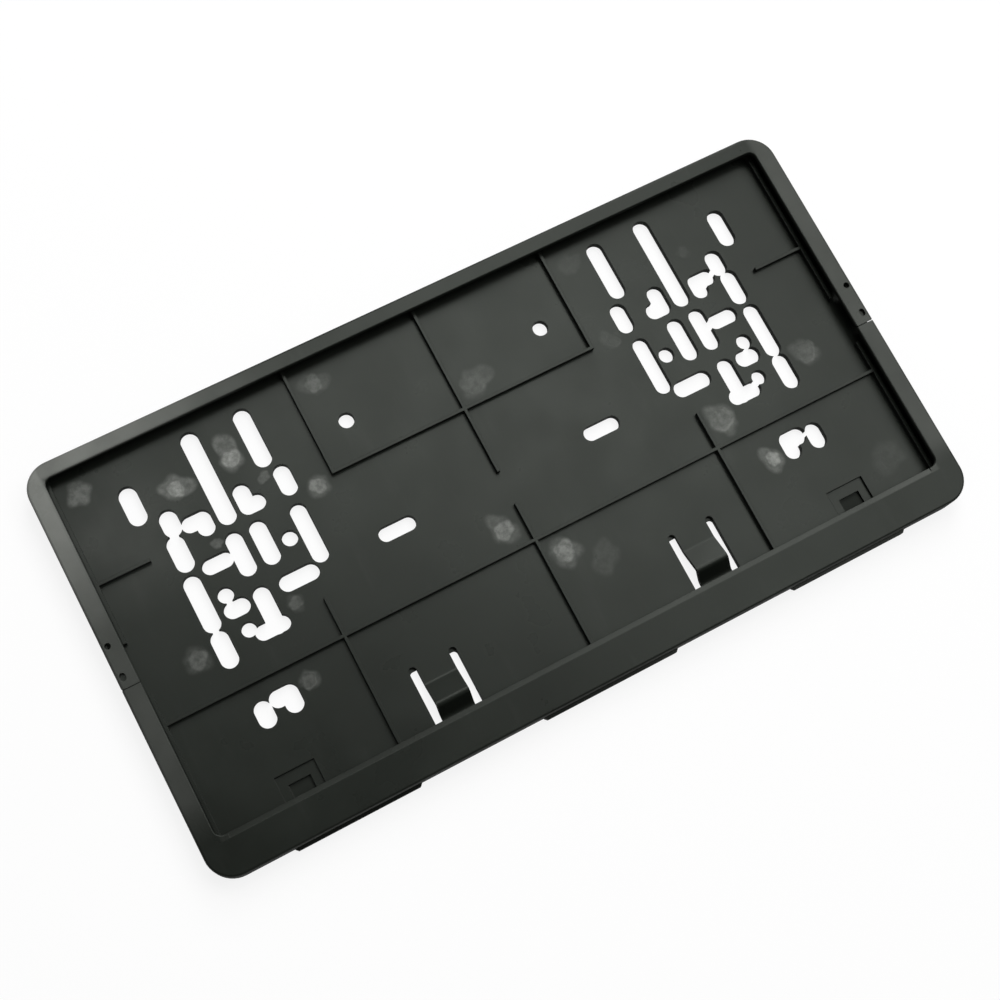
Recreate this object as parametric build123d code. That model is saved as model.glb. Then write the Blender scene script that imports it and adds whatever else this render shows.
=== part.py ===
"""Number plate holder: a slotted back tray with a hinged lower half-frame, lying on its back.

Millimetres. X runs to the right, Y to the top rail, Z out of the face. The origin is in the middle of
the outer rectangle, on the flat back.
"""
from build123d import *
from math import atan2, degrees, hypot, sqrt
import os

# Plate that the holder carries, and the room left round it
PLATE_W = 304.8
PLATE_H = 152.4
SIDE_ROOM = 2.9
TOP_ROOM = 1.2
STOP_ROOM = 0.4

# Frame
HEIGHT = 11.0
BASE_T = 3.0
WALL_T = 2.0
LIP_T = 2.0
SIDE_RAIL = 7.2
TOP_RAIL = 6.0
BOTTOM_RAIL = 15.4
STOP_SETBACK = 8.0
CORNER_R = 10.5
WINDOW_R = 3.0
FACE_EDGE_R = 0.9
LIP_EDGE_R = 0.5
BEVEL_W = 1.9
BEVEL_DEPTH = 0.7
BEVEL_END_ROOM = 1.0

# Split across the side rails, and the hinge just below it
SPLIT_Y = -5.7
SPLIT_GAP = 0.2
SWING_ROOM = 0.15
PIVOT_DEPTH = 3.5
ARM_CHAMFER_RISE = 1.85
PIVOT_R = 1.1
PIVOT_CLEARANCE = 0.15
SOCKET_DEPTH = 1.5
SEAT_GAP = 0.2
POST_T = 2.2
POST_GAP = 0.4
POST_BACK = 2.2

# Ribs on the back plate
RIB_T = 1.2
RIB_H = 2.6
RIB_LAP = 0.5
SIDE_RIB_T = 1.4
SIDE_RIB_INSET = 1.4
HINGE_BAY = 10.0
UPPER_RIB_X = 55.0
UPPER_RIB_Y = 33.8
CENTRE_RIB_TOP_END = 6.5
CENTRE_RIB_LOW_END = -7.0
LOWER_RIB_X = 78.8
LOWER_RIB_Y = -22.6
STUB_END_X = 128.4

# Sprung tabs, measured down from their roots
TAB_X = 54.5
TAB_W = 13.3
TAB_SLOT_W = 3.0
TAB_ROOT_Y = -45.2
TAB_T = 1.8
TAB_FLAT = 6.3
TAB_RAMP = 9.0
TAB_DROP = 4.4
TAB_RISE = 4.0
TAB_TOE = 3.6
TAB_BEND_R = 0.3
TAB_END_ROOM = 2.6
TAB_PIT_L = 1.5
TAB_PIT_DEPTH = 1.8

# Latch pockets beside the lower corners, and the tongues that drop into them
POCKET_X = 116.0
POCKET_W = 15.6
POCKET_TOP = 10.0
POCKET_DEPTH = 1.2
WELL_W = 8.6
WELL_TOP = 5.6
WELL_DEPTH = 1.3
TONGUE_W = 7.6
TONGUE_T = 1.6
TONGUE_BACK = 2.6
TONGUE_FLOOR_GAP = 0.4
STOP_RIB_T = 1.5
STOP_RIB_GAP = 0.5

# Foot along the lower edge, interrupted below the tabs
FOOT_OUT = 1.2
FOOT_END_CUT = 1.0
FOOT_HALF_W = 128.0
FOOT_NOTCH_X = 53.0
FOOT_NOTCH_W = 50.0

# Small openings in the side rails' faces, above the split
RAIL_HOLE_INSET = 2.3
RAIL_HOLE_R = 1.15
RAIL_HOLE_RISE = 16.6
RAIL_DIMPLE_INSET = 2.4
RAIL_DIMPLE_W = 2.2
RAIL_DIMPLE_L = 3.0
RAIL_DIMPLE_DEPTH = 1.4
RAIL_DIMPLE_RISE = 4.3

# Mounting slots on the right half: start of the slot's middle line, its end, and its width.
# A hole has the same start and end. The left half mirrors them.
MOUNT_SLOTS = {
    "outer_short": ((125.6, 50.7), (125.6, 59.6), 6.9),
    "tall": ((96.7, 36.7), (96.7, 68.4), 6.9),
    "inner_upper": ((75.6, 50.5), (75.6, 68.1), 6.8),
    "inner_short": ((71.8, 36.5), (71.8, 42.4), 6.6),
    "heel": ((88.3, 36.6), (88.3, 42.4), 6.6),
    "heel_toe": ((84.7, 36.6), (88.3, 36.6), 6.6),
    "edge_top": ((116.3, 41.3), (116.3, 45.2), 6.9),
    "edge_upper": ((117.9, 27.5), (117.9, 35.5), 6.9),
    "knee_bar": ((105.3, 39.8), (110.1, 39.8), 6.6),
    "knee_leg": ((105.3, 36.2), (105.3, 39.8), 6.6),
    "seven_inch": ((88.9, 16.0), (88.9, 27.2), 6.7),
    "tee_stem": ((98.5, 16.0), (98.5, 27.2), 6.6),
    "tee_bar": ((104.4, 22.3), (110.4, 22.3), 6.2),
    "inner_tall": ((72.9, 8.7), (72.9, 26.4), 6.4),
    "inner_hole": ((80.1, 18.9), (80.1, 18.9), 6.0),
    "inner_bar": ((78.9, 4.3), (88.1, 4.3), 6.6),
    "edge_tall": ((119.0, 3.1), (119.0, 19.4), 6.7),
    "edge_low": ((119.0, -11.3), (119.0, -3.2), 6.8),
    "key_hole": ((110.1, 10.3), (110.1, 10.3), 6.0),
    "key_bar": ((106.7, 4.3), (110.2, 4.3), 6.6),
    "jay_stem": ((98.5, -8.0), (98.5, 4.6), 6.6),
    "jay_foot": ((96.4, -8.0), (103.9, -8.0), 6.2),
    "jay_hole": ((108.1, -4.8), (108.1, -4.8), 5.7),
    "low_short": ((116.4, -36.7), (116.4, -33.0), 6.8),
    "low_knee_bar": ((105.4, -31.9), (109.9, -31.9), 6.8),
    "low_knee_leg": ((105.4, -36.1), (105.4, -31.9), 6.8),
    "centre_bar": ((38.8, 4.4), (48.0, 4.4), 5.8),
    "round": ((41.4, 49.9), (41.4, 49.9), 6.0),
}

# Places that follow from the sizes above
HALF_W = PLATE_W / 2 + SIDE_ROOM + WALL_T
OUTER_H = WALL_T + TOP_ROOM + PLATE_H + STOP_ROOM + STOP_SETBACK
HALF_H = OUTER_H / 2
LIP_UNDER = HEIGHT - LIP_T
WINDOW_HALF_W = HALF_W - SIDE_RAIL
WINDOW_TOP = HALF_H - TOP_RAIL
WINDOW_BOTTOM = BOTTOM_RAIL - HALF_H
STOP_Y = STOP_SETBACK - HALF_H
ARM_END_Y = SPLIT_Y - SPLIT_GAP / 2
PIVOT_Y = ARM_END_Y - PIVOT_DEPTH
PIVOT_Z = HEIGHT - PIVOT_DEPTH
SEAT_Z = BASE_T + SEAT_GAP
INNER_WALL_X = HALF_W - WALL_T
RIB_TOP = BASE_T + RIB_H
SIDE_RIB_X = WINDOW_HALF_W - SIDE_RIB_INSET
LOWER_RIB_END = WINDOW_BOTTOM - RIB_LAP


def block(x0, x1, y0, y1, z0, z1):
    """Box between two corners."""
    size = Box(x1 - x0, y1 - y0, z1 - z0)
    return Pos((x0 + x1) / 2, (y0 + y1) / 2, (z0 + z1) / 2) * size


def slab(outline, z0, z1):
    """Flat outline carried up from z0 to z1."""
    return extrude(Pos(0, 0, z0) * outline, z1 - z0)


def side_prism(outline, x0, x1):
    """Outline drawn in Y and Z, carried along X from x0 to x1."""
    placed = Pos(x0, 0, 0) * (Plane.YZ * outline)
    return extrude(placed, x1 - x0, dir=(1, 0, 0))


def side_polygon(*points):
    """Outline through (y, z) points."""
    return Polygon(*points, align=None)


def cross_bar(radius, y, z, x0, x1):
    """Round bar along X."""
    return Pos(x0, y, z) * extrude(Plane.YZ * Circle(radius), x1 - x0)


def both_sides(shape):
    """Shape on the right half together with its mirror image on the left."""
    return shape + mirror(shape, about=Plane.YZ)


def slot_outline(start, end, width):
    """Round-ended slot between two points, or a round hole where they coincide."""
    dx = end[0] - start[0]
    dy = end[1] - start[1]
    length = hypot(dx, dy)
    middle = Pos((start[0] + end[0]) / 2, (start[1] + end[1]) / 2)
    if length == 0:
        return middle * Circle(width / 2)
    return middle * SlotCenterToCenter(length, width, rotation=degrees(atan2(dy, dx)))


def frame_ring(z0):
    """Whole frame before it is split: outer wall from z0 and a lip that stands in over the plate."""
    outer = RectangleRounded(2 * HALF_W, 2 * HALF_H, CORNER_R)
    cavity = RectangleRounded(2 * INNER_WALL_X, 2 * (HALF_H - WALL_T), CORNER_R - WALL_T)
    window = RectangleRounded(2 * WINDOW_HALF_W, WINDOW_TOP - WINDOW_BOTTOM, WINDOW_R)
    window = Pos(0, (WINDOW_TOP + WINDOW_BOTTOM) / 2) * window
    shell = slab(outer, z0, HEIGHT)
    shell = fillet(shell.edges().group_by(Axis.Z)[-1], FACE_EDGE_R)
    shell -= slab(cavity, z0, LIP_UNDER)
    shell -= slab(window, LIP_UNDER, HEIGHT)
    rim = [e for e in shell.edges().group_by(Axis.Z)[-1] if is_window_edge(e)]
    return fillet(rim, LIP_EDGE_R)


def is_window_edge(edge):
    """True for an edge of the face that lies on the window's outline."""
    middle = edge.center()
    in_width = abs(middle.X) < WINDOW_HALF_W + LIP_EDGE_R
    in_height = WINDOW_BOTTOM - LIP_EDGE_R < middle.Y < WINDOW_TOP + LIP_EDGE_R
    return in_width and in_height


def upper_frame():
    """Upper half of the frame. Its lower ends are hollowed so that the arms' corners can swing past."""
    kept = block(-HALF_W, HALF_W, PIVOT_Y, HALF_H, 0, HEIGHT)
    swing_r = sqrt(2) * PIVOT_DEPTH + SWING_ROOM
    swing = cross_bar(swing_r, PIVOT_Y, PIVOT_Z, -HALF_W, HALF_W)
    below = block(-HALF_W, HALF_W, PIVOT_Y, SPLIT_Y + SPLIT_GAP / 2, 0, HEIGHT)
    frame = (frame_ring(BASE_T) & kept) - swing - below
    return frame - both_sides(rail_openings())


def rail_openings():
    """Round hole through the lip and a shallow dimple nearer the split, on the right rail."""
    hole = Pos(HALF_W - RAIL_HOLE_INSET, SPLIT_Y + RAIL_HOLE_RISE) * Circle(RAIL_HOLE_R)
    dimple = SlotOverall(RAIL_DIMPLE_L, RAIL_DIMPLE_W, rotation=90)
    dimple = Pos(HALF_W - RAIL_DIMPLE_INSET, SPLIT_Y + RAIL_DIMPLE_RISE) * dimple
    return slab(hole, LIP_UNDER, HEIGHT) + slab(dimple, HEIGHT - RAIL_DIMPLE_DEPTH, HEIGHT)


def ribs():
    """Ribs that carry the back of the plate, from the walls and from each other."""
    top = HALF_H - WALL_T
    half = RIB_T / 2

    def upright(x, y0, y1):
        return block(x - half, x + half, y0, y1, BASE_T, RIB_TOP)

    def level(y, x0, x1):
        return block(x0, x1, y - half, y + half, BASE_T, RIB_TOP)

    right = upright(UPPER_RIB_X, UPPER_RIB_Y - half, top)
    right += upright(LOWER_RIB_X, LOWER_RIB_END, CENTRE_RIB_LOW_END)
    right += level(UPPER_RIB_Y, STUB_END_X, SIDE_RIB_X)
    side = SIDE_RIB_X + SIDE_RIB_T
    right += block(SIDE_RIB_X, side, HINGE_BAY, top, BASE_T, RIB_TOP)
    right += block(SIDE_RIB_X, side, LOWER_RIB_END, -HINGE_BAY, BASE_T, RIB_TOP)
    middle = upright(0, CENTRE_RIB_TOP_END, top)
    middle += upright(0, LOWER_RIB_END, CENTRE_RIB_LOW_END)
    middle += level(UPPER_RIB_Y, -UPPER_RIB_X - half, UPPER_RIB_X + half)
    middle += level(LOWER_RIB_Y, -SIDE_RIB_X, SIDE_RIB_X)
    return both_sides(right) + middle


def tab_leaf():
    """Sprung tab: a bent leaf that runs level, ramps up to a crest and drops to a level toe."""
    ramp_y = TAB_ROOT_Y - TAB_FLAT
    crest_y = ramp_y - TAB_RAMP
    toe_y = crest_y - TAB_DROP
    toe_z = SEAT_GAP + TAB_T
    top = FilletPolyline(
        (TAB_ROOT_Y + TAB_T, BASE_T),
        (ramp_y, BASE_T),
        (crest_y, BASE_T + TAB_RISE),
        (toe_y, toe_z),
        (toe_y - TAB_TOE, toe_z),
        radius=TAB_BEND_R + TAB_T,
    )
    leaf = make_face(offset(top, TAB_T, side=Side.LEFT))
    return side_prism(leaf, TAB_X - TAB_W / 2, TAB_X + TAB_W / 2)


def tab_opening():
    """Opening round one tab: two slots with a blind upper end, and the space round the leaf."""
    low = TAB_ROOT_Y - TAB_FLAT - TAB_RAMP - TAB_DROP - TAB_TOE - TAB_END_ROOM
    half = TAB_W / 2 + TAB_SLOT_W / 2
    slot_top = TAB_ROOT_Y - TAB_SLOT_W / 2
    opening = block(TAB_X - half, TAB_X + half, low, TAB_ROOT_Y, 0, BASE_T)
    for x in (TAB_X - half, TAB_X + half):
        opening += slab(slot_outline((x, low), (x, slot_top), TAB_SLOT_W), 0, BASE_T)
        pit = slot_outline((x, slot_top), (x, slot_top + TAB_PIT_L), TAB_SLOT_W)
        opening += slab(pit, BASE_T - TAB_PIT_DEPTH, BASE_T)
    return opening


def latch_pocket():
    """Shallow pocket on the right, with a deeper well under the lower rail."""
    low = STOP_Y + STOP_RIB_GAP
    top = WINDOW_BOTTOM + POCKET_TOP
    well_top = WINDOW_BOTTOM + WELL_TOP
    floor = BASE_T - POCKET_DEPTH
    pocket = block(POCKET_X - POCKET_W / 2, POCKET_X + POCKET_W / 2, low, top, floor, BASE_T)
    well = block(POCKET_X - WELL_W / 2, POCKET_X + WELL_W / 2, low, well_top, floor - WELL_DEPTH, BASE_T)
    return pocket + well


def hinge_post():
    """Tapered post beside the right rail, with a round head and a pivot pin that points outwards."""
    outside = INNER_WALL_X - POST_GAP
    inside = outside - POST_T
    profile = side_polygon(
        (PIVOT_Y - PIVOT_R, PIVOT_Z),
        (PIVOT_Y + PIVOT_R, PIVOT_Z),
        (PIVOT_Y + PIVOT_R, BASE_T),
        (PIVOT_Y - PIVOT_R - POST_BACK, BASE_T),
    )
    post = side_prism(profile, inside, outside)
    pin_end = INNER_WALL_X + SOCKET_DEPTH - PIVOT_CLEARANCE
    return post + cross_bar(PIVOT_R, PIVOT_Y, PIVOT_Z, inside, pin_end)


def foot():
    """Narrow foot along the lower edge, left out below the two tabs, with its ends cut at a slant."""
    strip = block(-FOOT_HALF_W, FOOT_HALF_W, -HALF_H - FOOT_OUT, -HALF_H + WALL_T, 0, BASE_T)
    x0 = FOOT_NOTCH_X - FOOT_NOTCH_W / 2
    notch = block(x0, x0 + FOOT_NOTCH_W, -HALF_H - FOOT_OUT, -HALF_H, 0, BASE_T)
    strip -= both_sides(notch)
    ends = strip.edges().filter_by(Axis.Z).group_by(Axis.Y)[0]
    return chamfer(ends, FOOT_END_CUT)


def base_tray():
    """Back plate, ribs, slots, tabs and the upper half of the frame, in one moulding."""
    tray = slab(RectangleRounded(2 * HALF_W, 2 * HALF_H, CORNER_R), 0, BASE_T)
    tray += foot()
    tray += ribs()
    slots = Sketch() + [slot_outline(*slot) for slot in MOUNT_SLOTS.values()]
    tray -= both_sides(slab(slots, 0, RIB_TOP))
    tray -= both_sides(tab_opening())
    tray += both_sides(tab_leaf())
    tray -= both_sides(latch_pocket())
    tray += both_sides(hinge_post())
    return tray + upper_frame()


def arm_end_trim():
    """Space above and below the arms' ends, cut so that nothing sweeps below the seat as they swing."""
    beyond = HALF_H
    low = SEAT_Z - SEAT_GAP
    profile = side_polygon(
        (PIVOT_Y, low),
        (beyond, low),
        (beyond, HEIGHT),
        (ARM_END_Y, HEIGHT),
        (ARM_END_Y, SEAT_Z + ARM_CHAMFER_RISE),
        (PIVOT_Y, SEAT_Z),
    )
    return side_prism(profile, -HALF_W, HALF_W)


def lower_bezel():
    """Lower half of the frame, with the plate's stop, two tongues and the sockets of the hinge."""
    bezel = frame_ring(SEAT_Z) - arm_end_trim()
    bevel = side_polygon(
        (WINDOW_BOTTOM, HEIGHT - BEVEL_DEPTH),
        (WINDOW_BOTTOM - BEVEL_W, HEIGHT),
        (WINDOW_BOTTOM, HEIGHT),
    )
    bevel_half = WINDOW_HALF_W - WINDOW_R - BEVEL_END_ROOM
    bezel -= side_prism(bevel, -bevel_half, bevel_half)
    stop_half = INNER_WALL_X - CORNER_R + WALL_T
    bezel += block(-stop_half, stop_half, STOP_Y - STOP_RIB_T, STOP_Y, SEAT_Z, LIP_UNDER)
    tongue_y = WINDOW_BOTTOM - TONGUE_BACK
    tongue_z = BASE_T - POCKET_DEPTH - WELL_DEPTH + TONGUE_FLOOR_GAP
    x0 = POCKET_X - TONGUE_W / 2
    tongue = block(x0, x0 + TONGUE_W, tongue_y - TONGUE_T, tongue_y, tongue_z, LIP_UNDER)
    socket_r = PIVOT_R + PIVOT_CLEARANCE
    socket = cross_bar(socket_r, PIVOT_Y, PIVOT_Z, INNER_WALL_X, INNER_WALL_X + SOCKET_DEPTH)
    return bezel + both_sides(tongue) - both_sides(socket)


if __name__ == "__main__":
    os.makedirs("parts", exist_ok=True)
    export_step(base_tray(), "parts/base_tray.step")
    export_step(lower_bezel(), "parts/lower_bezel.step")
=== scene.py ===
"""Number plate holder: the looks of its two plastic mouldings, on a white studio floor.

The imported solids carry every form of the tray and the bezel. This script gives them their moulded
plastic, lays the pale marks of the ejector pins on the tray, and sets up floor, lamps and camera.
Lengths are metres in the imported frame: X to the right, Y to the top rail, Z out of the face.
"""

import logging
import math
from dataclasses import dataclass
from enum import Enum

import bpy
import numpy as np
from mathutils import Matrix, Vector


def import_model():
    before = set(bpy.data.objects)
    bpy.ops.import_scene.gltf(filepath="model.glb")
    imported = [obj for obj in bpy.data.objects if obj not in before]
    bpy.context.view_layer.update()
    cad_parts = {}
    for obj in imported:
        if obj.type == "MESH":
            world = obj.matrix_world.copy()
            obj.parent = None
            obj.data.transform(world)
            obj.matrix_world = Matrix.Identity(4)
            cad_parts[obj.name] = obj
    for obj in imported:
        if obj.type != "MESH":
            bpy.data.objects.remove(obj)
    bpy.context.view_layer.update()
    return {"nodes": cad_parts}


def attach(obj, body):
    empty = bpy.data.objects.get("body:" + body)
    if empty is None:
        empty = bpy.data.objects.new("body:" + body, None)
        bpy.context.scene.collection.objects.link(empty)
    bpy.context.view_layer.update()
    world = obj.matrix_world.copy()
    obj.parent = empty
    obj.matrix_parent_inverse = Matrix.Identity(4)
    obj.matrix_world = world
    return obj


LOG = logging.getLogger("plate_holder")
MM = 0.001
TRAY_FLOOR_Z = 3 * MM

Colour = tuple[float, float, float]
Point = tuple[float, float, float]
Socket = bpy.types.NodeSocket


class Moulded(Enum):
    """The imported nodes, one for each moulding."""

    TRAY = "base_tray"
    BEZEL = "lower_bezel"


class Body(Enum):
    """The bodies that the hinge joins."""

    TRAY = "tray"
    BEZEL = "bezel"


class PinTrace(Enum):
    """How the plastic whitened round an ejector pin: shares of its core, its rim and its halo."""

    DISC = (1.0, 0.0, 0.36)
    RING = (0.72, 1.0, 0.50)
    HAZE = (0.0, 0.0, 1.0)


def smooth_step(share: np.ndarray) -> np.ndarray:
    """Smooth step: three squares less two cubes of a share that is held inside 0 to 1.

    Args:
        share: Shares of the way across the step.

    Returns:
        0 before the step, 1 after it.
    """
    held = np.clip(share, 0.0, 1.0)
    return held * held * (3.0 - 2.0 * held)


def polar_grid(rings: int, spokes: int) -> tuple[np.ndarray, np.ndarray]:
    """Grid of radius and angle.

    Args:
        rings: Number of rings outside the middle point.
        spokes: Number of points on each ring.

    Returns:
        Shares of the outer radius, from 0 to 1, and angles in radians.
    """
    shares = np.linspace(0.0, 1.0, rings + 1)
    angles = np.linspace(0.0, 2.0 * np.pi, spokes, endpoint=False)
    share, angle = np.meshgrid(shares, angles, indexing="ij")
    return share, angle


def polar_points(radius: np.ndarray, angle: np.ndarray, height: np.ndarray) -> np.ndarray:
    """Points on a grid of radius and angle, whose innermost ring is one point.

    Args:
        radius: Radius at each place of the grid.
        angle: Angle at each place, in radians.
        height: Height at each place.

    Returns:
        The points, the middle one first.
    """
    points = np.stack([radius * np.cos(angle), radius * np.sin(angle), height], axis=-1)
    return points.reshape(-1, 3)[angle.shape[1] - 1:]


def polar_faces(rings: int, spokes: int, start: int = 0) -> list[list[int]]:
    """Faces of such a grid: a fan round the middle point, then quads from each ring to the next.

    Args:
        rings: Number of rings outside the middle point.
        spokes: Number of points on each ring.
        start: Number of the middle point.

    Returns:
        Corner numbers of each face.
    """
    ring, spoke = np.meshgrid(np.arange(rings - 1), np.arange(spokes), indexing="ij")
    ahead = (spoke + 1) % spokes
    near = start + 1 + ring * spokes
    far = near + spokes
    quads = np.stack((near + spoke, far + spoke, far + ahead, near + ahead), axis=-1).reshape(-1, 4)
    fan = np.stack((np.full(spokes, start), near[0] + spoke[0], near[0] + ahead[0]), axis=-1)
    return fan.tolist() + quads.tolist()


def linked(name: str, data: bpy.types.ID) -> bpy.types.Object:
    """Puts a mesh, a lamp or a camera into the scene.

    Args:
        name: Name of the object.
        data: What the object shows.

    Returns:
        The new object.
    """
    made = bpy.data.objects.new(name, data)
    bpy.context.scene.collection.objects.link(made)
    return made


def smooth_piece(name: str, points: np.ndarray, faces: list[list[int]],
                 finish: bpy.types.Material) -> bpy.types.Object:
    """Makes a smooth surface.

    Args:
        name: Name of the object and its mesh.
        points: Corner points, (count, 3).
        faces: Corner numbers of each face.
        finish: Its material.

    Returns:
        The new object.
    """
    mesh = bpy.data.meshes.new(name)
    mesh.from_pydata(points.tolist(), [], faces)
    mesh.polygons.foreach_set("use_smooth", np.ones(len(faces), dtype=bool))
    mesh.materials.append(finish)
    return linked(name, mesh)


class Graph:
    """Short hand for building one material's nodes."""

    MIX_SHARE, MIX_FIRST, MIX_SECOND, MIX_RESULT = 0, 6, 7, 2

    def __init__(self, material: bpy.types.Material) -> None:
        """Empties the material's tree and keeps it.

        Args:
            material: Material whose nodes are built.
        """
        material.use_nodes = True
        self.tree = material.node_tree
        self.tree.nodes.clear()

    def node(self, kind: str, **settings: object) -> bpy.types.Node:
        """Adds a node.

        Args:
            kind: Blender's class name of the node.
            **settings: Properties set on the node.

        Returns:
            The new node.
        """
        made = self.tree.nodes.new(kind)
        for name, value in settings.items():
            setattr(made, name, value)
        return made

    def feed(self, socket: Socket, value: Socket | float | Colour) -> None:
        """Links a socket's value in, or sets it where it is a plain number or colour.

        Args:
            socket: Input that takes the value.
            value: Output socket, number, or colour without its alpha.
        """
        if isinstance(value, Socket):
            self.tree.links.new(value, socket)
        elif isinstance(value, tuple) and socket.type == "RGBA":
            socket.default_value = (*value, 1.0)
        else:
            socket.default_value = value

    def math(self, operation: str, first: Socket | float, *others: Socket | float) -> Socket:
        """Joins numbers from left to right by one operation.

        Args:
            operation: Name of the operation.
            first: First number, the only one where the operation takes one.
            *others: The numbers that follow.

        Returns:
            The result.
        """
        result = first
        for other in others or (0.0,):
            made = self.node("ShaderNodeMath", operation=operation)
            self.feed(made.inputs[0], result)
            self.feed(made.inputs[1], other)
            result = made.outputs[0]
        return result

    def axes(self, place: Socket) -> tuple[Socket, Socket, Socket]:
        """Splits coordinates.

        Args:
            place: Coordinates in metres.

        Returns:
            Their X, Y and Z.
        """
        split = self.node("ShaderNodeSeparateXYZ")
        self.feed(split.inputs[0], place)
        x, y, z = split.outputs
        return x, y, z

    def ramp(self, value: Socket, start: float, end: float, low: float, high: float) -> Socket:
        """Carries a number smoothly from one range to another.

        Args:
            value: Number that is carried over.
            start: Value at which the result is low.
            end: Value at which the result is high.
            low: Result at the start.
            high: Result at the end.

        Returns:
            The carried number, held inside its new range.
        """
        made = self.node("ShaderNodeMapRange", interpolation_type="SMOOTHSTEP")
        for socket, number in zip(made.inputs, (value, start, end, low, high)):
            self.feed(socket, number)
        return made.outputs[0]

    def noise(self, place: Socket, size: float, detail: float, rough: float) -> Socket:
        """Cloudy noise.

        Args:
            place: Coordinates in metres.
            size: Width of one cloud in metres.
            detail: Number of finer layers.
            rough: Strength of the finer layers.

        Returns:
            Noise from 0 to 1.
        """
        made = self.node("ShaderNodeTexNoise")
        self.feed(made.inputs["Vector"], place)
        made.inputs["Scale"].default_value = 1.0 / size
        made.inputs["Detail"].default_value = detail
        made.inputs["Roughness"].default_value = rough
        return made.outputs["Fac"]

    def stretched(self, place: Socket, turn_deg: float, factors: Point) -> Socket:
        """Turns coordinates about Z and scales them, so that noise on them runs in streaks.

        Args:
            place: Coordinates in metres.
            turn_deg: Turn about Z in degrees.
            factors: Scale along each axis.

        Returns:
            The new coordinates.
        """
        made = self.node("ShaderNodeMapping")
        self.feed(made.inputs["Vector"], place)
        made.inputs["Rotation"].default_value = (0.0, 0.0, math.radians(turn_deg))
        made.inputs["Scale"].default_value = factors
        return made.outputs["Vector"]

    def blend(self, share: Socket, first: Socket | Colour, second: Socket | Colour) -> Socket:
        """Mixes two colours.

        Args:
            share: Share of the second colour.
            first: Colour at share 0.
            second: Colour at share 1.

        Returns:
            The mixed colour.
        """
        made = self.node("ShaderNodeMix", data_type="RGBA")
        self.feed(made.inputs[self.MIX_SHARE], share)
        self.feed(made.inputs[self.MIX_FIRST], first)
        self.feed(made.inputs[self.MIX_SECOND], second)
        return made.outputs[self.MIX_RESULT]

    def show(self, surface: Socket) -> None:
        """Makes a shader the material's surface.

        Args:
            surface: The shader's output.
        """
        self.feed(self.node("ShaderNodeOutputMaterial").inputs["Surface"], surface)


@dataclass(frozen=True)
class Cloudy:
    """Noise with clouds of one size, carried from the range start to end into the range low to high."""

    size: float
    detail: float
    start: float
    end: float
    low: float
    high: float
    rough: float = 0.5

    def value(self, graph: Graph, place: Socket) -> Socket:
        """Adds the noise to a material.

        Args:
            graph: Material that gets the nodes.
            place: Coordinates in metres.

        Returns:
            Number from low to high.
        """
        noise = graph.noise(place, self.size, self.detail, self.rough)
        return graph.ramp(noise, self.start, self.end, self.low, self.high)


@dataclass(frozen=True)
class RailSheen:
    """Painted sheen on the frame's face: most on the upper left, below only a painted highlight on the
    bevel.
    """

    face_z: float = 10.0 * MM
    side_x: float = 150.0 * MM
    top_y: float = 76.0 * MM
    low_y: float = -68.0 * MM
    climb_y: float = 8.0 * MM
    high_y: float = 60.0 * MM
    left_low_share: float = 0.18
    right_share: float = 0.19
    top_right_share: float = 0.0
    top_left_share: float = 0.72
    top_left_reach: float = 110.0 * MM
    bevel_low_y: float = -68.5 * MM
    bevel_high_y: float = -65.0 * MM
    bevel_highlight_share: float = 0.045
    bevel_highlight_right_share: float = 0.16
    bevel_right_x: float = 95.0 * MM
    fade: float = 1.5 * MM
    bevel_fade: float = 0.4 * MM
    left_fade: float = 22.0 * MM
    corner_fade: float = 12.0 * MM

    def share(self, graph: Graph, place: Socket) -> Socket:
        """Share of the painted sheen colour at a point.

        The left rail's share fades in at its lower corner, stays low and climbs on its upper half. The
        right rail's is even and fades in at its lower corner, the top rail's falls from its left end, and
        the lower rail's is a painted highlight, a band on its bevel, stronger at the right end. All are 0
        below the face.

        Args:
            graph: Material that gets the nodes.
            place: Coordinates in metres.

        Returns:
            The share, from 0 to 1.
        """
        x, y, z = graph.axes(place)
        face = graph.ramp(z, self.face_z - self.fade / 2, self.face_z + self.fade / 2, 0.0, 1.0)

        left = graph.ramp(x, self.fade - self.side_x, -self.fade - self.side_x, 0.0, 1.0)
        low = graph.ramp(y, self.low_y, self.low_y + self.left_fade, 0.0, self.left_low_share)
        climb = graph.ramp(y, self.climb_y, self.high_y, 0.0, 1.0 - self.left_low_share)
        left = graph.math("MULTIPLY", left, graph.math("ADD", low, climb))

        right = graph.ramp(x, self.side_x - self.fade, self.side_x + self.fade, 0.0, self.right_share)
        corner = graph.ramp(y, self.low_y, self.low_y + self.corner_fade, 0.0, 1.0)
        right = graph.math("MULTIPLY", right, corner)

        top = graph.ramp(y, self.top_y - self.fade, self.top_y + self.fade, 0.0, 1.0)
        along = graph.ramp(x, -self.side_x, self.top_left_reach - self.side_x,
                           self.top_left_share, self.top_right_share)
        top = graph.math("MULTIPLY", top, along)

        # Painted highlight: a pale band along the lower rail's bevel, stronger towards the right end.
        above = graph.ramp(y, self.bevel_low_y - self.bevel_fade, self.bevel_low_y, 0.0, 1.0)
        below = graph.ramp(y, self.bevel_high_y, self.bevel_high_y - self.bevel_fade, 0.0, 1.0)
        inside = graph.ramp(graph.math("ABSOLUTE", x), self.side_x, self.side_x - self.fade, 0.0, 1.0)
        strength = graph.ramp(x, self.bevel_right_x, self.side_x,
                              self.bevel_highlight_share, self.bevel_highlight_right_share)
        bevel = graph.math("MULTIPLY", above, below, inside, strength)
        return graph.math("MULTIPLY", face, graph.math("MAXIMUM", left, right, top, bevel))


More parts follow.
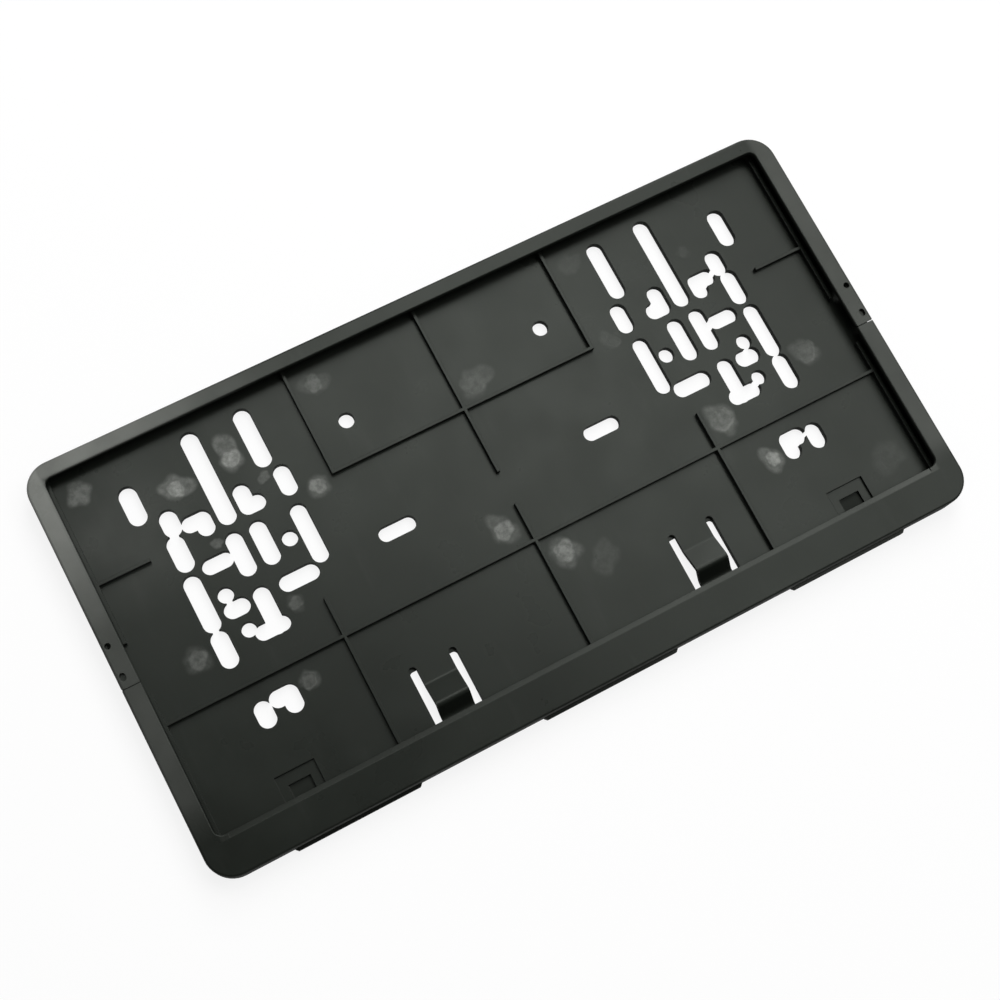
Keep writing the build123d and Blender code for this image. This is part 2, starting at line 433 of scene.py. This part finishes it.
@dataclass(frozen=True)
class PaintedCornerSheen:
    """Faint painted sheen on the tray's floor, in its upper left corner."""

    x: float = -134.0 * MM
    y: float = 45.0 * MM
    inner: float = 6.0 * MM
    outer: float = 34.0 * MM
    floor_top: float = 5.0 * MM
    fade: float = 1.5 * MM
    most: float = 0.085
    patches: Cloudy = Cloudy(14.0 * MM, 3.0, 0.30, 0.70, 0.6, 1.0)

    def share(self, graph: Graph, place: Socket) -> Socket:
        """Share of the pale colour, a painted sheen: falls with the distance from its middle, in soft
        patches.

        Args:
            graph: Material that gets the nodes.
            place: Coordinates in metres.

        Returns:
            The share, 0 above the floor.
        """
        x, y, z = graph.axes(place)
        away_x = graph.math("SUBTRACT", x, self.x)
        away_y = graph.math("SUBTRACT", y, self.y)
        squares = graph.math("ADD", graph.math("MULTIPLY", away_x, away_x),
                             graph.math("MULTIPLY", away_y, away_y))
        # Painted sheen: a pale pool on the floor in its upper left corner.
        corner_sheen = graph.ramp(graph.math("SQRT", squares), self.outer, self.inner, 0.0, self.most)
        low = graph.ramp(z, self.floor_top + self.fade, self.floor_top, 0.0, 1.0)
        return graph.math("MULTIPLY", corner_sheen, self.patches.value(graph, place), low)


@dataclass(frozen=True)
class RoughWells:
    """The tray's two latch wells, whose floors are left rough and so look darker."""

    x: float = 116.0 * MM
    y: float = -65.5 * MM
    half_w: float = 4.4 * MM
    half_h: float = 4.6 * MM
    floor_top: float = 1.4 * MM
    fade: float = 0.7 * MM
    gain: float = 0.38

    def added(self, graph: Graph, place: Socket) -> Socket:
        """Roughness added at a point: the full gain on a well's floor, none elsewhere.

        Args:
            graph: Material that gets the nodes.
            place: Coordinates in metres.

        Returns:
            The added roughness.
        """
        x, y, z = graph.axes(place)
        off_x = graph.math("ABSOLUTE", graph.math("SUBTRACT", graph.math("ABSOLUTE", x), self.x))
        off_y = graph.math("ABSOLUTE", graph.math("SUBTRACT", y, self.y))
        across = graph.ramp(off_x, self.half_w, self.half_w - self.fade, 0.0, 1.0)
        along = graph.ramp(off_y, self.half_h, self.half_h - self.fade, 0.0, 1.0)
        deep = graph.ramp(z, self.floor_top, self.floor_top - self.fade, 0.0, self.gain)
        return graph.math("MULTIPLY", across, along, deep)


@dataclass(frozen=True)
class MouldedPlastic:
    """Black satin plastic with a fine spark-eroded grain and pale pin marks, with painted sheen on rails
    and floor, and edges paler from wear and a painted highlight.
    """

    name: str
    body: Colour = (0.0092, 0.0111, 0.0088)
    cloud: Colour = (0.0135, 0.0160, 0.0131)
    painted_sheen: Colour = (0.2560, 0.2630, 0.2450)
    # Edge colour: wear and a painted highlight on edges, also the tone of the flow streaks.
    edge: Colour = (0.0640, 0.0660, 0.0620)
    pale: Colour = (0.2950, 0.3030, 0.2850)
    dust: Colour = (0.0690, 0.0700, 0.0670)
    gloss_tint: Colour = (0.94, 1.00, 0.92)
    specular: float = 0.20
    rails: RailSheen = RailSheen()
    corner_sheen: PaintedCornerSheen = PaintedCornerSheen()
    wells: RoughWells = RoughWells()
    clouds: Cloudy = Cloudy(60 * MM, 3.0, 0.30, 0.70, 0.0, 1.0)
    rail_clouds: Cloudy = Cloudy(26 * MM, 4.0, 0.30, 0.70, 0.62, 1.0)
    streaks: Cloudy = Cloudy(9 * MM, 4.0, 0.56, 0.80, 0.0, 0.10, rough=0.6)
    streak_turn_deg: float = 24.0
    streak_factors: Point = (1.0, 0.22, 1.0)
    specks: Cloudy = Cloudy(0.9 * MM, 2.0, 0.62, 0.74, 0.0, 1.0, rough=0.7)
    dust_patches: Cloudy = Cloudy(38 * MM, 2.0, 0.42, 0.70, 0.0, 0.10)
    edge_patches: Cloudy = Cloudy(4 * MM, 3.0, 0.35, 0.65, 0.45, 1.0)
    mottle: Cloudy = Cloudy(2.6 * MM, 4.0, 0.30, 0.70, 0.50, 1.10, rough=0.65)
    roughness: Cloudy = Cloudy(22 * MM, 4.0, 0.30, 0.70, 0.27, 0.33)
    wall_start: float = 0.60
    wall_full: float = 0.25
    wall_gain: float = 0.55
    grain_size: float = 0.28 * MM
    grain_detail: float = 2.0
    grain_rough: float = 0.6
    grain_depth: float = 0.010 * MM
    grain_strength: float = 0.35
    edge_radius: float = 0.28 * MM
    edge_samples: int = 4
    edge_start: float = 0.99
    edge_full: float = 0.86
    edge_wear_and_highlight_share: float = 0.20

    def moulded_colour(self, graph: Graph, place: Socket) -> Socket:
        """Colour away from edges and marks: clouds, then painted sheen on the rails, flow streaks and
        dust over them.

        Args:
            graph: Material that gets the nodes.
            place: Coordinates in metres.

        Returns:
            The colour.
        """
        colour = graph.blend(self.clouds.value(graph, place), self.body, self.cloud)
        # Painted sheen on the frame's face, palest on the upper left and on the lower rail's bevel.
        painted_sheen = graph.math("MULTIPLY", self.rails.share(graph, place),
                            self.rail_clouds.value(graph, place))
        colour = graph.blend(painted_sheen, colour, self.painted_sheen)
        flow = graph.stretched(place, self.streak_turn_deg, self.streak_factors)
        colour = graph.blend(self.streaks.value(graph, flow), colour, self.edge)
        dusty = graph.math("MULTIPLY", self.specks.value(graph, place),
                           self.dust_patches.value(graph, place))
        return graph.blend(dusty, colour, self.dust)

    def worn_and_highlit_edges(self, graph: Graph, place: Socket, rounded: Socket) -> Socket:
        """Share of the edge colour, where a rounded normal leaves the true one: wear and a painted
        highlight.

        Args:
            graph: Material that gets the nodes.
            place: Coordinates in metres.
            rounded: The rounded normal.

        Returns:
            The share, from 0 to 1.
        """
        agree = graph.node("ShaderNodeVectorMath", operation="DOT_PRODUCT")
        graph.feed(agree.inputs[0], rounded)
        graph.feed(agree.inputs[1], graph.node("ShaderNodeNewGeometry").outputs["True Normal"])
        worn = graph.ramp(agree.outputs["Value"], self.edge_start, self.edge_full, 0.0, self.edge_wear_and_highlight_share)
        return graph.math("MULTIPLY", worn, self.edge_patches.value(graph, place))

    def whitening_and_sheen(self, graph: Graph, place: Socket) -> Socket:
        """Share of the pale colour: the mottled attribute of the pin marks, and the painted sheen in the
        floor's corner.

        Args:
            graph: Material that gets the nodes.
            place: Coordinates in metres.

        Returns:
            The share.
        """
        marked = graph.node("ShaderNodeAttribute", attribute_name=PinMarks.ATTRIBUTE).outputs["Fac"]
        mottled = graph.math("MULTIPLY", marked, self.mottle.value(graph, place))
        return graph.math("ADD", mottled, self.corner_sheen.share(graph, place))

    def grained(self, graph: Graph, place: Socket, rounded: Socket) -> Socket:
        """Normal with the fine grain on it.

        Args:
            graph: Material that gets the nodes.
            place: Coordinates in metres.
            rounded: The rounded normal.

        Returns:
            The new normal.
        """
        bump = graph.node("ShaderNodeBump")
        bump.inputs["Strength"].default_value = self.grain_strength
        bump.inputs["Distance"].default_value = self.grain_depth
        grain = graph.noise(place, self.grain_size, self.grain_detail, self.grain_rough)
        graph.feed(bump.inputs["Height"], grain)
        graph.feed(bump.inputs["Normal"], rounded)
        return bump.outputs["Normal"]

    def matt_walls(self, graph: Graph, normal: Socket) -> Socket:
        """Roughness added on upright walls, which are left matt.

        Args:
            graph: Material that gets the nodes.
            normal: Normal in the piece's own axes.

        Returns:
            The added roughness.
        """
        upward = graph.math("ABSOLUTE", graph.axes(normal)[2])
        return graph.ramp(upward, self.wall_start, self.wall_full, 0.0, self.wall_gain)

    def material(self) -> bpy.types.Material:
        """Builds the finish: the moulded colour, then edges with wear and a painted highlight, whitening
        and painted sheen over it, and the gloss.

        Returns:
            The material.
        """
        made = bpy.data.materials.new(self.name)
        graph = Graph(made)
        coordinates = graph.node("ShaderNodeTexCoord").outputs
        place = coordinates["Object"]
        bevel = graph.node("ShaderNodeBevel", samples=self.edge_samples)
        bevel.inputs["Radius"].default_value = self.edge_radius
        rounded = bevel.outputs["Normal"]

        colour = self.moulded_colour(graph, place)
        # Paler edges: wear, and a painted highlight.
        colour = graph.blend(self.worn_and_highlit_edges(graph, place, rounded), colour, self.edge)
        # Whitened pin marks, and the painted sheen in the floor's corner.
        colour = graph.blend(self.whitening_and_sheen(graph, place), colour, self.pale)
        roughness = graph.math("ADD", self.roughness.value(graph, place), self.wells.added(graph, place),
                               self.matt_walls(graph, coordinates["Normal"]))

        shader = graph.node("ShaderNodeBsdfPrincipled")
        shader.inputs["Specular IOR Level"].default_value = self.specular
        graph.feed(shader.inputs["Specular Tint"], self.gloss_tint)
        graph.feed(shader.inputs["Base Color"], colour)
        graph.feed(shader.inputs["Roughness"], roughness)
        graph.feed(shader.inputs["Normal"], self.grained(graph, place, rounded))
        graph.show(shader.outputs["BSDF"])
        return made


@dataclass(frozen=True)
class FloorPaper:
    """White studio paper. It takes the object's shadow, and the camera sees it a little brighter."""

    name: str = "studio_paper"
    colour: Colour = (0.17, 0.17, 0.17)
    lift: float = 0.85

    def material(self) -> bpy.types.Material:
        """Builds the paper: a matt grey, and a glow that only camera, glossy and clear rays meet.

        Returns:
            The material.
        """
        made = bpy.data.materials.new(self.name)
        graph = Graph(made)
        matt = graph.node("ShaderNodeBsdfDiffuse")
        graph.feed(matt.inputs["Color"], self.colour)
        rays = graph.node("ShaderNodeLightPath").outputs
        seen = graph.math("MAXIMUM", rays["Is Camera Ray"], rays["Is Glossy Ray"],
                          rays["Is Transmission Ray"])
        glow = graph.node("ShaderNodeEmission")
        graph.feed(glow.inputs["Strength"], graph.math("MULTIPLY", seen, self.lift))
        both = graph.node("ShaderNodeAddShader")
        graph.feed(both.inputs[0], matt.outputs["BSDF"])
        graph.feed(both.inputs[1], glow.outputs["Emission"])
        graph.show(both.outputs["Shader"])
        return made


@dataclass(frozen=True)
class Smear:
    """Pale smear that runs out of a pin mark: direction, from X towards Y, and reach in pin radii."""

    turn_deg: float
    reach: float


@dataclass(frozen=True)
class PinMark:
    """Pale mark that one ejector pin left on the tray's floor."""

    x: float
    y: float
    trace: PinTrace
    strength: float
    radius: float
    smears: tuple[Smear, ...] = ()


@dataclass
class PinMarks:
    """All pin marks as one thin surface on the tray's floor."""

    ATTRIBUTE = "whitened"

    floor_z: float
    marks: tuple[PinMark, ...]
    name: str = "pin_marks"
    lift: float = 0.012 * MM
    rim_height: float = 0.035 * MM
    rim_width: float = 0.22
    core_edge: float = 0.98
    core_soft: float = 0.22
    halo_edge: float = 1.25
    halo_soft: float = 0.34
    core_swing: float = 0.16
    halo_swing: float = 0.26
    smear_focus: float = 9.0
    rim_highlight_turn_deg: float = -73.0
    rim_least: float = 0.45
    least_waves: int = 2
    most_waves: int = 7
    rings: int = 21
    spokes: int = 64

    @staticmethod
    def fade(d: np.ndarray, edge: np.ndarray, soft: float) -> np.ndarray:
        """Smooth step down across an edge.

        Args:
            d: Distances.
            edge: Distance at which the step is half way down.
            soft: Half of the step's width.

        Returns:
            1 well inside the edge, 0 well outside it.
        """
        return smooth_step((edge + soft - d) / (2.0 * soft))

    def uneven(self, angle: np.ndarray, phase: float, swing: float) -> np.ndarray:
        """How far an uneven outline leaves its circle.

        It is a sum of cosines of whole multiples of the angle, each weaker than the one before.

        Args:
            angle: Angles in radians.
            phase: Number that makes one outline differ from the next.
            swing: Strength of the unevenness.

        Returns:
            What is added to the circle's radius.
        """
        times = np.arange(self.least_waves, self.most_waves + 1).reshape(-1, 1, 1)
        return (swing / times * np.cos(times * angle + times * times * phase)).sum(axis=0)

    def surface(self, mark: PinMark) -> tuple[np.ndarray, np.ndarray]:
        """Surface of one mark on a grid of radius and angle.

        With d the distance from the pin's axis over its radius, the core's edge is an uneven circle. The
        rim is a bell across that edge, which also stands up a little; a painted highlight makes it palest
        towards one side. The halo's edge is another uneven circle with a bell in the angle added for each
        smear. The grid ends where the halo has faded out.

        Args:
            mark: The pin mark.

        Returns:
            Points, the middle one first, and their whitening.
        """
        core, rim, halo = mark.trace.value
        share, angle = polar_grid(self.rings, self.spokes)
        phase = (mark.x + 2.0 * mark.y) / MM
        inner = self.core_edge + self.uneven(angle, phase, self.core_swing)
        outer = self.halo_edge + self.uneven(angle, phase + 1.0, self.halo_swing)
        for smear in mark.smears:
            off = np.cos(angle - math.radians(smear.turn_deg)) - 1.0
            outer = outer + smear.reach * np.exp(self.smear_focus * off)
        d = share * (outer + self.halo_soft)
        bell = np.exp(-((d - inner) / self.rim_width) ** 2)
        # Painted highlight: each rim is palest on the side at one fixed turn.
        side = 0.5 + 0.5 * np.cos(angle - math.radians(self.rim_highlight_turn_deg))
        layers = (core * self.fade(d, inner, self.core_soft),
                  rim * bell * (self.rim_least + (1.0 - self.rim_least) * side),
                  halo * self.fade(d, outer, self.halo_soft))
        whitened = mark.strength * np.maximum.reduce(layers)
        height = self.floor_z + self.lift + self.rim_height * bell * (rim > 0.0)
        points = polar_points(mark.radius * d, angle, height) + np.array((mark.x, mark.y, 0.0))
        return points, whitened.reshape(-1)[self.spokes - 1:]

    def build(self, finish: bpy.types.Material) -> bpy.types.Object:
        """Puts every mark into one mesh and sets it on the tray.

        Args:
            finish: The tray's own plastic, which reads the whitening.

        Returns:
            The new piece.
        """
        points, whitened = zip(*(self.surface(mark) for mark in self.marks))
        faces = []
        for start in np.cumsum([0] + [len(block) for block in points[:-1]]).tolist():
            faces += polar_faces(self.rings, self.spokes, start)
        piece = smooth_piece(self.name, np.concatenate(points), faces, finish)
        values = piece.data.attributes.new(self.ATTRIBUTE, "FLOAT", "POINT").data
        values.foreach_set("value", np.concatenate(whitened))
        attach(piece, Body.TRAY.value)
        return piece


@dataclass
class Moulding:
    """One packed moulding and its finish."""

    node: Moulded
    finish: MouldedPlastic

    def dress(self, nodes: dict[str, bpy.types.Object]) -> bpy.types.Material:
        """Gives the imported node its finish.

        Args:
            nodes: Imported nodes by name.

        Returns:
            The material that the node now has.
        """
        made = self.finish.material()
        mesh = nodes[self.node.value].data
        mesh.materials.clear()
        mesh.materials.append(made)
        return made


@dataclass(frozen=True)
class SoftBox:
    """Square soft lamp that faces a point on the object."""

    name: str
    place: Point
    size: float
    power: float
    target: Point = (0.0, 0.0, 0.0)

    def hang(self) -> bpy.types.Object:
        """Adds the lamp to the scene.

        Returns:
            The lamp.
        """
        light = bpy.data.lights.new(self.name, "AREA")
        light.size = self.size
        light.energy = self.power
        lamp = linked(self.name, light)
        lamp.location = self.place
        aim = Vector(self.target) - Vector(self.place)
        lamp.rotation_euler = aim.to_track_quat("-Z", "Y").to_euler()
        return lamp


@dataclass
class Studio:
    """Floor, lamps, air and camera."""

    paper: FloorPaper = FloorPaper()
    floor_z: float = -0.15 * MM
    floor_flat: float = 2.5
    floor_reach: float = 7.0
    floor_rise: float = 1.2
    floor_rings: int = 18
    floor_spokes: int = 96
    air: Colour = (1.0, 1.0, 1.0)
    air_strength: float = 0.15
    camera_place: Point = (-132.22 * MM, -114.64 * MM, 622.79 * MM)
    camera_turn_deg: Point = (14.296, -5.563, -28.050)
    lens_mm: float = 62.16
    sensor_mm: float = 36.0
    lamps: tuple[SoftBox, ...] = (
        SoftBox("back_box", (0.66, 1.05, 1.02), 0.7, 8.0),
        SoftBox("top_box", (0.38, 0.955, 2.20), 1.2, 19.0),
        SoftBox("side_box", (1.20, 0.01, 2.17), 1.4, 18.9),
    )

    def lay_floor(self) -> bpy.types.Object:
        """Lays the paper just under the object: a flat round that rises smoothly far out, as a backdrop.

        Returns:
            The floor.
        """
        share, angle = polar_grid(self.floor_rings, self.floor_spokes)
        radius = share * self.floor_reach
        climb = (radius - self.floor_flat) / (self.floor_reach - self.floor_flat)
        height = self.floor_z + self.floor_rise * smooth_step(climb)
        floor = smooth_piece("studio_floor", polar_points(radius, angle, height),
                             polar_faces(self.floor_rings, self.floor_spokes), self.paper.material())
        return floor

    def fill_air(self) -> None:
        """Sets the even light that comes from all round."""
        world = bpy.data.worlds.new("studio_air")
        world.use_nodes = True
        background = world.node_tree.nodes["Background"]
        background.inputs["Color"].default_value = (*self.air, 1.0)
        background.inputs["Strength"].default_value = self.air_strength
        bpy.context.scene.world = world

    def set_camera(self) -> bpy.types.Object:
        """Sets the camera where the photograph was taken from.

        Returns:
            The camera.
        """
        view = bpy.data.cameras.new("studio_camera")
        view.sensor_width = self.sensor_mm
        view.lens = self.lens_mm
        camera = linked("studio_camera", view)
        camera.location = self.camera_place
        camera.rotation_euler = [math.radians(turn) for turn in self.camera_turn_deg]
        bpy.context.scene.camera = camera
        return camera

    def build(self) -> None:
        """Builds the whole studio."""
        self.lay_floor()
        self.fill_air()
        for lamp in self.lamps:
            lamp.hang()
        self.set_camera()
        bpy.context.scene.view_settings.view_transform = "Standard"


def tray_pin_marks() -> tuple[PinMark, ...]:
    """Pin marks in the places where the tray shows them.

    Returns:
        The marks, from the left upper corner to the right lower one.
    """
    disc, ring, haze = PinTrace.DISC, PinTrace.RING, PinTrace.HAZE
    return (
        PinMark(-141 * MM, 68 * MM, haze, 0.36, 3.3 * MM, (Smear(20, 0.5), Smear(-150, 0.3))),
        PinMark(-109 * MM, 54 * MM, disc, 0.95, 3.2 * MM,
                (Smear(152, 0.8), Smear(-23, 0.9), Smear(82, 0.7), Smear(22, 0.5))),
        PinMark(-86 * MM, 55.5 * MM, disc, 0.90, 3.5 * MM, (Smear(102, 1.4), Smear(67, 0.7))),
        PinMark(-62.1 * MM, 32 * MM, disc, 0.60, 3.2 * MM, (Smear(-68, 0.4),)),
        PinMark(-46 * MM, 68.2 * MM, disc, 0.36, 3.4 * MM, (Smear(-8, 0.7), Smear(172, 0.6))),
        PinMark(-78.3 * MM, 44 * MM, haze, 0.26, 1.6 * MM, (Smear(32, 0.2), Smear(-148, 0.5))),
        PinMark(-104.5 * MM, 29 * MM, haze, 0.26, 1.6 * MM),
        PinMark(8 * MM, 41.6 * MM, ring, 0.28, 4.05 * MM, (Smear(7, 0.8), Smear(40, 0.5))),
        PinMark(-129 * MM, -6.4 * MM, disc, 0.31, 3.7 * MM, (Smear(-163, 0.3), Smear(17, 0.1))),
        PinMark(-88.9 * MM, -3.6 * MM, disc, 0.24, 2.6 * MM),
        PinMark(-8.4 * MM, -14 * MM, disc, 0.60, 3.8 * MM, (Smear(122, 0.8), Smear(-38, 0.4))),
        PinMark(-97.2 * MM, -31 * MM, ring, 0.32, 2.7 * MM, (Smear(12, 0.5),)),
        PinMark(8 * MM, -31 * MM, disc, 0.62, 4.2 * MM, (Smear(-108, 0.4), Smear(-28, 0.2))),
        PinMark(20.5 * MM, -40 * MM, haze, 0.09, 4.2 * MM, (Smear(62, 0.3), Smear(-118, 0.3))),
        PinMark(64 * MM, 68 * MM, haze, 0.08, 3.4 * MM),
        PinMark(64.4 * MM, 33.2 * MM, ring, 0.13, 2.5 * MM, (Smear(112, 0.9), Smear(150, 0.7))),
        PinMark(107 * MM, 53 * MM, disc, 0.07, 2.2 * MM),
        PinMark(130 * MM, -4 * MM, ring, 0.33, 3.8 * MM, (Smear(147, 0.5), Smear(-70, 0.2))),
        PinMark(86.9 * MM, -13 * MM, ring, 0.52, 4.25 * MM, (Smear(122, 0.4), Smear(-90, 0.2))),
        PinMark(96.8 * MM, -35.5 * MM, disc, 0.85, 2.9 * MM,
                (Smear(122, 1.2), Smear(-88, 0.8), Smear(-125, 0.5))),
        PinMark(137 * MM, -55 * MM, haze, 0.07, 4.9 * MM),
    )


def main() -> None:
    """Dresses the mouldings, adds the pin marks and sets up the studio."""
    logging.basicConfig(level=logging.INFO, format="%(message)s")
    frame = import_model()
    nodes = frame["nodes"]
    plastics = {}
    finishes = {
        Moulded.TRAY: MouldedPlastic("tray_satin_black"),
        Moulded.BEZEL: MouldedPlastic("bezel_satin_black", specular=0.18),
    }
    for node, finish in finishes.items():
        plastics[node] = Moulding(node, finish).dress(nodes)
        LOG.info("dressed %s", node.value)
    marks = PinMarks(TRAY_FLOOR_Z, tray_pin_marks())
    piece = marks.build(plastics[Moulded.TRAY])
    LOG.info("laid %s: %d marks", piece.name, len(marks.marks))
    Studio().build()
    LOG.info("studio ready")


if __name__ == "__main__":
    main()
